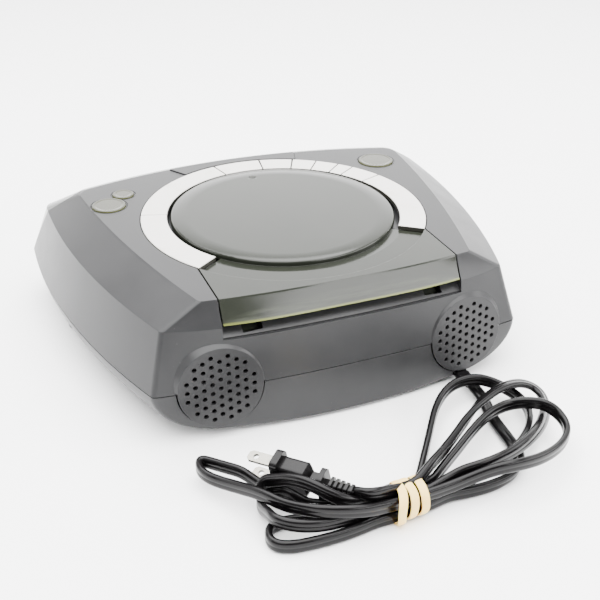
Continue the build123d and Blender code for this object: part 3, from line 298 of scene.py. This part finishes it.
# ---- Loudspeakers: two small ones behind the grilles of the rear wall, each with a paper cone, a
# pressed frame and a round magnet, all in one black.
paper_black = moulded("speaker_paper", (0.028, 0.027, 0.026), roughness=0.8, grain=0.00008)
dress(["loudspeaker_right", "loudspeaker_left"], paper_black)


# ---- Tuning and volume: two knurled thumb wheels at the ends of the case, each on the shaft of a
# rotary control, all in black plastic.
black_plastic = moulded("inner_black", (0.022, 0.022, 0.023), roughness=0.45)
dress(["tuning_wheel", "volume_wheel", "rotary_controls"], black_plastic)


# ---- Disc well and drive: a black moulded well under the lid, with the turntable, the drive plate, the
# gears, the lid's clamp and its latch in acetal and ABS. The motors' cans, the pickup and its two rods
# are bright metal.
well_plastic = moulded("well_black", (0.030, 0.030, 0.031), roughness=0.36)
dress(["disc_well"], well_plastic)
dress(["disc_clamp", "lid_latch", "turntable", "drive_plate", "feed_gear", "feed_pinion"],
      black_plastic)
steel = moulded("drive_steel", (0.52, 0.52, 0.53), roughness=0.30, metallic=1.0, drift=0.06)
dress(["guide_rods", "spindle_motor", "feed_motor", "pickup_sled"], steel)


# ---- Key ring: six keys, the label arc and two fixed trims round the lid, in ABS with a silver lacquer
# on their tops. The lacquer is worn and yellowed in patches. The sides carry no lacquer and are painted
# dark as shade, and a painted shade line marks each joint.
ring_silver = (0.62, 0.60, 0.57)
worn_silver = (0.46, 0.42, 0.33)
# painted shade along each joint between two pieces of the ring
joint_painted_shade = (0.02, 0.02, 0.018)
# the sides' colour: bare of lacquer, and painted dark as the shade in the gaps
side_painted_shade = (0.03, 0.03, 0.024)
lacquer_from = 0.0789           # the lacquer starts between these heights
lacquer_full = 0.0793
wear_strength = 0.5
# where one piece of the ring meets the next, in degrees from the front turning to the right
ring_joints = (72.5, 12.0, -9.6, -25.0, -36.0, -46.5, -53.7, -68.0)
joint_half = 0.28               # half width of a joint's line in degrees, and that of its soft edges
joint_soft = 0.15

silver = moulded("ring_silver", ring_silver, roughness=0.34, grain=0.00001, edge=0.0003, drift=0.03,
                 metallic=0.25, coat_weight=0.2, coat_roughness=0.15)
silver_wear = silver.noise(55.0, detail=5.0, roughness=0.65).between(0.55, 0.75)
silver_tone = (silver_wear * wear_strength).colours(silver.fed("Base Color"), worn_silver)
ring_turn = silver.axis(0).maths("ARCTAN2", silver.axis(1) * -1.0)
# each joint is painted dark on the silver tops, as the shade of the gap between pieces
for joint in ring_joints:
    near, far = radians(joint - joint_half), radians(joint + joint_half)
    silver_tone = ring_turn.band(near, far, radians(joint_soft)).colours(silver_tone, joint_painted_shade)
# below the lacquer the sides are painted dark, as shade
on_top = silver.axis(2).between(lacquer_from, lacquer_full)
silver.set("Base Color", on_top.colours(side_painted_shade, silver_tone))
dress(["ring_trim_right", "ring_trim_left", "ring_label_arc"]
      + ["ring_key_%d" % number for number in range(1, 7)], silver)


# ---- Push buttons: two at the right of the deck and one at the left, domed ABS caps that stand just
# above it in moulded sleeves. The dome starts inside a rim, and the skirt below it is a greener shade.
button_grey = (0.040, 0.040, 0.027)
skirt_green = (0.075, 0.080, 0.022)
skirt_full = 0.0791             # the skirt's shade fades out between these heights
skirt_end = 0.0796
rim_inner = 0.0026              # the rim rises between these distances in from the edge
rim_outer = 0.0012
rim_rise = 0.0003
button_grain = 0.00001
button_edge = 0.0005

button_plastic = moulded("button_pearl", button_grey, roughness=0.24, grain=0, specular_ior_level=0.28)
button_skirt = button_plastic.axis(2).between(skirt_full, skirt_end, 1.0, 0.0)
button_plastic.set("Base Color", button_skirt.colours(button_plastic.fed("Base Color"), skirt_green))
button_shape = button_plastic.noise(mould_grain) * button_grain
for x, y, size in button_places:
    rim = button_plastic.radius(x, y).between(size - rim_inner, size - rim_outer)
    button_shape = button_shape + rim * rim_rise
button_plastic.relief(button_shape, edge=button_edge)
dress(["button_right", "button_small", "button_left"], button_plastic)


# ---- Front lens: the smoky strip across the front that covers the display and wraps round both ends,
# moulded in acrylic and polished.
lens_plastic = moulded("lens_smoke", (0.030, 0.032, 0.028), roughness=0.12, grain=0.000004,
                       coat_weight=0.4, coat_roughness=0.05)
dress(["front_lens"], lens_plastic)


# ---- Disc lid: one glossy moulding in a green-tinted styrene, on two arms that hinge below the deck.
# Its disc falls away to a rim, and the skirt behind it rises to a step in line with the key ring, with
# a painted shade line along the step. The rear face is streaked by handling, with the streaks also
# painted lighter as streaky highlights, and has a painted yellow-green highlight along its lower edge.
lid_clean = (0.0125, 0.0140, 0.0105)
lid_smudged = (0.0165, 0.0180, 0.0135)
lid_streak_highlight = (0.06, 0.065, 0.05)
lid_edge_highlight = (0.10, 0.11, 0.03)
lid_step_shade = (0.006, 0.007, 0.005)
lid_axis = (0.0, -0.00215)      # upright axis of the lid's disc
rear_from = 0.0955              # the rear face starts between these distances behind the middle
rear_full = 0.097
streak_strength = 0.55
highlight_full = 0.0670              # its lower edge has a painted highlight below these heights
highlight_end = 0.0678
lid_polished = 0.16             # roughness where the lid is clean, and where it is smudged
lid_dulled = 0.27
fall_from = 0.0595              # radius where the disc starts to fall
disc_edge = 0.0705
disc_fall = 0.0017
skirt_from = 0.0712             # radii between which the skirt rises
skirt_to = 0.0765
skirt_rise = 0.0005
step_from = 0.0890              # radii of the step
step_to = 0.0897
step_fall = 0.0003
line_near = 0.0895              # radii of the painted shade line along it, and how wide its soft edges are
line_far = 0.0899
line_soft = 0.0003
lid_grain = 0.000005            # depths of the mould's grain and of the streaks
streak_grain = 0.00001
lid_edge = 0.0004

lid_plastic = Shade("lid_gloss", specular_ior_level=0.25)
lid_reach = lid_plastic.radius(*lid_axis)
lid_rear = lid_plastic.axis(1).between(rear_from, rear_full)
lid_smudge = lid_plastic.noise(26.0, detail=5.0, roughness=0.65).between(0.35, 0.72)
lid_streak = lid_plastic.noise(420.0, detail=3.0, roughness=0.6, stretch=(0.08, 1, 1))
lid_streak = lid_streak.between(0.35, 0.7) * lid_rear
# painted highlight along the rear face's lower edge, for light through the tinted plastic
lid_edge_lit = lid_plastic.axis(2).between(highlight_full, highlight_end, 1.0, 0.0) * lid_rear
lid_tone = lid_smudge.colours(lid_clean, lid_smudged)
# the streaks are painted lighter, as streaky highlights on the rear face
lid_tone = (lid_streak * streak_strength).colours(lid_tone, lid_streak_highlight)
lid_tone = lid_edge_lit.colours(lid_tone, lid_edge_highlight)
# painted shade along the step
lid_tone = lid_reach.band(line_near, line_far, line_soft).colours(lid_tone, lid_step_shade)
lid_plastic.set("Base Color", lid_tone)
lid_dullness = lid_smudge * 0.5 + lid_streak * 0.5
lid_plastic.set("Roughness", lid_dullness.between(0.1, 0.9, lid_polished, lid_dulled))
lid_slope = lid_reach.between(fall_from, disc_edge)
lid_shape = lid_slope * lid_slope * -disc_fall
lid_shape = lid_shape + lid_reach.between(skirt_from, skirt_to, 0.0, skirt_rise)
lid_shape = lid_shape + lid_reach.between(step_from, step_to, 0.0, -step_fall)
lid_shape = lid_shape + lid_plastic.noise(mould_grain) * lid_grain + lid_streak * streak_grain
lid_plastic.relief(lid_shape, edge=lid_edge)
dress(["disc_lid"], lid_plastic)


# ---- Rubber feet and the drive's dampers: black moulded rubber, the feet seated in recesses under the
# case and the dampers at the drive plate's corners.
rubber = moulded("foot_rubber", (0.018, 0.018, 0.018), roughness=0.75)
dress(["rubber_feet", "drive_dampers"], rubber)


# ---- Screws and hinge pins: turned and plated with nickel, slightly tarnished. The screws hold the two
# shells and the drive plate, and the pins carry the lid's arms.
nickel_bright = (0.27, 0.26, 0.23)
nickel_dull = (0.20, 0.19, 0.165)
nickel_polished = 0.18          # roughness where the plating is bright, and where it is dull
nickel_dulled = 0.30
nickel_grain = 0.00001
nickel_edge = 0.0002

nickel = Shade("nickel_plate", metallic=1.0)
nickel_cloud = nickel.noise(420.0, detail=3.0)
nickel.set("Base Color", nickel_cloud.colours(nickel_dull, nickel_bright))
nickel.set("Roughness", nickel_cloud.between(0.3, 0.7, nickel_polished, nickel_dulled))
nickel.relief(nickel_cloud, nickel_grain, nickel_edge)
dress(["lid_hinge_pins", "case_screws", "drive_screws"], nickel)


# ---- Mains cord: flat two-wire cord in black PVC, 7.4 by 3.7 mm with a groove between its wires. It
# leaves the rear wall by its strain relief, lies once along the table and is folded into a hank of
# three loops at each side of a band.
cord_width = 0.0074
cord_thickness = 0.0037
cord_groove = 0.0002
groove_spread = 0.2             # how far the groove spreads, as a share of half a flat side
cord_dark = (0.0018, 0.0016, 0.0018)
cord_light = (0.0036, 0.0032, 0.0034)
cord_glossy = 0.16              # roughness, which varies between these
cord_dulled = 0.28
cord_grain = 0.00003
rings_per_point = 6             # rings of the cord's mesh for each point of its route
# how far the cord leans from standing on its edge, as (point of the route, degrees)
cord_lean = [(0, 90), (4.5, 88), (7.5, 12), (9, 0),
             (118, 0), (122, 45), (124.5, 84), (127, 60), (129, 0)]
# the route's points, in mm
lead = [
    (-74, 117.8, 5.4), (-74, 123.5, 5.2), (-74.3, 131.5, 3.6), (-70.6, 144.7, 2.3),
    (-69, 161.2, 2.2), (-66.5, 174.6, 3.8), (-63.4, 184.6, 3.8), (-56.5, 192.7, 3.8),
    (-46.4, 196.4, 3.8), (-35, 197.8, 3.8), (-22.9, 197.3, 4), (-13, 196.3, 4.4), (-1, 198.8, 4.3),
    (12.9, 199.8, 3.8)]
left_loop_low = [
    (26.9, 199.1, 3.8), (42.2, 201.5, 3.8), (58.3, 201.6, 3.8), (71.2, 200.5, 3.8),
    (78.7, 197.6, 3.8), (81.5, 193, 3.8), (80.6, 187.7, 3.8), (77.1, 184, 3.8), (71.1, 183.1, 3.8),
    (61.8, 184.9, 3.8), (48.4, 188.3, 3.8), (33.9, 189.7, 3.9), (21.6, 191.1, 4), (12.6, 193, 3.8),
    (-1.3, 192.6, 3.8)]
right_loop_low = [
    (-15.4, 191, 4.6), (-28.5, 189.9, 7), (-39.2, 191.6, 10.5), (-51, 189, 11.6),
    (-64.7, 181.6, 11.4), (-77.5, 170.8, 9.2), (-87.3, 158.2, 7.6), (-91.3, 146.3, 7.4),
    (-89.6, 135.5, 7.9), (-83.7, 128.1, 10), (-75.5, 123.4, 12.5), (-66.2, 121.9, 13.2),
    (-56.1, 123.3, 12.5), (-46.5, 128.9, 11), (-37.6, 137.5, 9.5), (-28.7, 149.2, 8.5),
    (-19.8, 161, 7.5), (-11.6, 171.5, 6.2), (-4.5, 180.4, 3.8), (3.7, 186.4, 3.8),
    (11.2, 188.8, 3.8)]
left_loop_far = [
    (16.7, 187.9, 5.3), (26.3, 185, 5.4), (37.6, 183.2, 5), (49.9, 182, 6.4), (58.9, 179.2, 8.6),
    (65.7, 173.3, 13.2), (70.7, 167, 9.8), (75.8, 157.7, 10), (80.6, 149.9, 12), (86.8, 142.8, 11.2),
    (92.3, 136.2, 10.4), (96.1, 132.1, 10), (98.6, 133.1, 9.6), (99.4, 138.5, 9.4),
    (97.1, 144.7, 9.4), (92.2, 151, 9.6), (86, 159.4, 11.4), (78.4, 171.9, 15.1),
    (70.3, 184.1, 14.9), (59.9, 195, 17.7), (47.4, 200.6, 17.5), (34.8, 202.2, 15.6),
    (26.3, 201.2, 13.8), (13, 199.8, 12), (-1.1, 199.2, 11.9)]
right_loop_far = [
    (-13.9, 198.2, 11.9), (-24.3, 198.9, 14.4), (-34.9, 200.8, 17.8), (-46.2, 203, 19),
    (-60.5, 201.7, 16.8), (-75.6, 196.5, 14.2), (-87.8, 189.2, 12.8), (-95.1, 181, 12.8),
    (-96.6, 171.7, 14.5), (-91.5, 165.1, 18.5), (-84.4, 159.1, 17.8), (-76.7, 154.4, 15.8),
    (-65.9, 155.2, 15.2), (-53.8, 160.4, 15), (-40.9, 168.3, 14.2), (-28.9, 175.7, 12.1),
    (-17, 183.2, 11.1), (-7, 188.4, 7.5), (5.7, 189.4, 9.4)]
left_loop_top = [
    (17.4, 189.9, 13.4), (29.2, 192.4, 11.3), (40.7, 195.9, 16.5), (50, 191.8, 21.4),
    (58, 183.8, 24.8), (65, 175.3, 23), (69.9, 170, 19.6), (73.4, 166.5, 17.5), (75.6, 165.9, 14.7),
    (77.6, 167.8, 6), (78.4, 172.6, 6.1), (78.1, 181.1, 10.5), (77.5, 189.2, 12.3),
    (69.3, 195.5, 11.7), (57.3, 198.7, 10.6), (43.4, 197.8, 8.8), (30.5, 195.9, 6.4),
    (23.7, 195.7, 9.3), (13.3, 196.3, 8.3), (-0.8, 195.7, 10.3)]
right_loop_top = [
    (-12, 193.8, 12.2), (-21.6, 193.5, 15.2), (-30.3, 196, 18), (-41.7, 195.4, 18.6),
    (-55, 191.7, 18), (-69.3, 184.4, 16.6), (-85.7, 171.4, 11.6), (-97.7, 158.1, 8.9),
    (-103.5, 146.9, 9.2), (-101.4, 139.5, 11.5), (-92.6, 137.6, 15.1), (-81.1, 139.3, 16.6),
    (-69.8, 142.6, 16.2), (-57.5, 148.9, 15.8), (-44, 158.8, 15.6), (-31, 169.1, 16),
    (-18, 179, 17.1), (-6.6, 187, 18.6), (3.8, 192.4, 14.4)]
to_plug = [
    (13.3, 193.4, 14.4), (21.6, 196.4, 18.2), (28.9, 197.8, 20.4), (34.2, 196.5, 20.6),
    (37.3, 192, 19)]
route = (lead + left_loop_low + right_loop_low + left_loop_far + right_loop_far + left_loop_top
         + right_loop_top + to_plug)

spline_data = bpy.data.curves.new("cord_route", "CURVE")
spline_data.dimensions = "3D"
spline = spline_data.splines.new("NURBS")
spline.points.add(len(route) - 1)
for point, place in zip(spline.points, route):
    point.co = (place[0] / 1000, place[1] / 1000, place[2] / 1000, 1.0)
spline.order_u = 3
spline.use_endpoint_u = True
spline.resolution_u = rings_per_point
spline_piece = bpy.data.objects.new("cord_route", spline_data)
bpy.context.scene.collection.objects.link(spline_piece)
bpy.context.view_layer.update()
smooth_piece = spline_piece.evaluated_get(bpy.context.evaluated_depsgraph_get())
line = bpy.data.meshes.new_from_object(smooth_piece)
path = [vertex.co.copy() for vertex in line.vertices]
bpy.data.objects.remove(spline_piece)
bpy.data.meshes.remove(line)


def keyed(keys, place):
    """A value read from (place, value) keys, with a smooth run between them."""
    if place <= keys[0][0]:
        return keys[0][1]
    for (start, low), (end, high) in zip(keys, keys[1:]):
        if place <= end:
            share = (place - start) / (end - start)
            share = share * share * (3 - 2 * share)
            return low + (high - low) * share
    return keys[-1][1]


def heading(line_points, index):
    """The direction of a line at one of its points."""
    before = line_points[max(index - 1, 0)]
    after = line_points[min(index + 1, len(line_points) - 1)]
    return (after - before).normalized()


def lofted(name, rings):
    """A closed solid through rings of points, with a flat cap at each end."""
    size = len(rings[0])
    last = (len(rings) - 1) * size
    faces = []
    for low in range(0, last, size):
        for k in range(size):
            after = (k + 1) % size
            faces.append((low + k, low + after, low + size + after, low + size + k))
    faces.append(tuple(range(size)))
    faces.append(tuple(range(last, last + size)))
    return mesh_piece(name, [point for ring in rings for point in ring], faces)


# half of the section as (across, up) points: a half-round edge at the top, then one grooved side
edge_radius = cord_thickness / 2
edge_reach = cord_width / 2 - edge_radius
edge_steps = 8
side_shares = (0.55, 0.22, 0.0, -0.22, -0.55)
half_section = []
for step in range(edge_steps + 1):
    angle = pi * step / edge_steps
    half_section.append((edge_radius * cos(angle), edge_reach + edge_radius * sin(angle)))
for share in side_shares:
    dip = cord_groove * exp(-(share / groove_spread) ** 2)
    half_section.append((dip - edge_radius, share * edge_reach))
section = half_section + [(-across, -up) for across, up in half_section]

cord_rings = []
for index, place in enumerate(path):
    ahead = heading(path, index)
    aside = ahead.cross(Vector((0, 0, 1))).normalized()
    upward = aside.cross(ahead)
    lean = radians(keyed(cord_lean, index / rings_per_point + 0.5))
    ring = []
    for across, up in section:
        x = across * cos(lean) - up * sin(lean)
        y = across * sin(lean) + up * cos(lean)
        ring.append(place + aside * x + upward * y)
    cord_rings.append(ring)
cord = lofted("mains_cord_laid", cord_rings)

pvc = Shade("cord_pvc", specular_ior_level=0.16)
pvc_cloud = pvc.noise(90.0, detail=4.0, roughness=0.6)
pvc.set("Base Color", pvc_cloud.colours(cord_dark, cord_light))
pvc.set("Roughness", pvc_cloud.between(0.3, 0.7, cord_glossy, cord_dulled))
pvc.relief(pvc.noise(2600.0), cord_grain)
cord.data.materials.append(pvc.material)
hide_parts("mains_cord", "cord_hank")
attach(cord, "case")


# ---- Rubber band: a flat band of natural rubber, 4.6 by 1.2 mm, wound three times round the middle of
# the hank, the first turn more slantwise than the others. Its own pull holds the loops together.
band_width = 0.0046
band_thickness = 0.0012
band_tan = (0.80, 0.50, 0.13)
band_light = (0.90, 0.68, 0.23)
band_grain = 0.00008
band_along = Vector((0.998, 0.06, 0)).normalized()      # along the bundle, and across it
band_aside = Vector((-0.06, 0.998, 0)).normalized()
band_lift = 0.65                # table to the strap's middle in mm: half its thickness and a small gap
# for each turn: x and y of the loop's middle, its half width and its half height, in mm
band_turns = [
    (0.0, 17.3, 197.7, 8.6, 8.74), (0.25, 19.0, 197.3, 9.4, 8.74), (0.5, 14.8, 195.7, 9.2, 8.74),
    (0.75, 12.8, 195.3, 9.2, 8.74), (1.0, 12.4, 195.3, 9.2, 8.55), (1.25, 11.2, 195.0, 9.4, 8.55),
    (1.5, 9.4, 194.7, 9.1, 8.36), (2.0, 6.6, 194.5, 9.2, 8.36), (2.25, 4.8, 194.5, 9.5, 8.36),
    (2.5, 3.6, 194.5, 9.1, 8.265), (3.0, 2.0, 194.4, 9.0, 8.265)]
loop_squareness = 2.4           # 2 is an ellipse
turns = 3
turn_steps = 72
wander = 0.0002                 # the strap strays this far to each side,
wander_rate = 0.21              # in waves that turn by these radians at each step
strap_steps = 16
strap_face = 0.55               # powers that flatten the strap's faces and round its edges
strap_side = 0.75

band_hearts = []
band_line = []
for step in range(turns * turn_steps + 1):
    turn_count = step / turn_steps
    angle = 2 * pi * turn_count - pi / 2
    columns = ([(row[0], row[column]) for row in band_turns] for column in range(1, 5))
    x, y, wide, tall = (keyed(keys, turn_count) for keys in columns)
    stretch = abs(cos(angle)) ** loop_squareness + abs(sin(angle)) ** loop_squareness
    reach = stretch ** (-1 / loop_squareness)
    heart = Vector((x, y, tall + band_lift)) / 1000
    outward = band_aside * wide * cos(angle) + Vector((0, 0, tall * sin(angle)))
    band_hearts.append(heart)
    band_line.append(heart + outward * reach / 1000)


def signed_power(value, power):
    """A power of a value's size, with the value's sign."""
    return abs(value) ** power * (1 if value >= 0 else -1)


band_rings = []
for index, place in enumerate(band_line):
    ahead = heading(band_line, index)
    outward = place - band_hearts[index]
    outward = outward - band_along * outward.dot(band_along)
    outward = (outward - ahead * outward.dot(ahead)).normalized()
    aside = ahead.cross(outward)
    stray = wander * sin(index * wander_rate)
    ring = []
    for step in range(strap_steps):
        angle = 2 * pi * step / strap_steps
        x = band_width / 2 * signed_power(cos(angle), strap_face) + stray
        y = band_thickness / 2 * signed_power(sin(angle), strap_side)
        ring.append(place + aside * x + outward * y)
    band_rings.append(ring)
band = lofted("rubber_band_wound", band_rings)

natural_rubber = Shade("band_natural_rubber", roughness=0.5, subsurface_weight=0.2,
                       subsurface_scale=0.002, specular_ior_level=0.4)
rubber_cloud = natural_rubber.noise(160.0, detail=4.0, roughness=0.6)
natural_rubber.set("Base Color", rubber_cloud.colours(band_tan, band_light))
natural_rubber.relief(natural_rubber.noise(900.0, detail=3.0), band_grain)
band.data.materials.append(natural_rubber.material)
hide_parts("rubber_band")
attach(band, "case")


# ---- Plug and strain relief: both moulded onto the cord in its own PVC, the relief with its neck
# seated in the rear wall. The plug's two flat blades are stamped from brass and nickel plated.
dress(["plug_body", "strain_relief"], pvc)
dress(["plug_blades"], nickel)
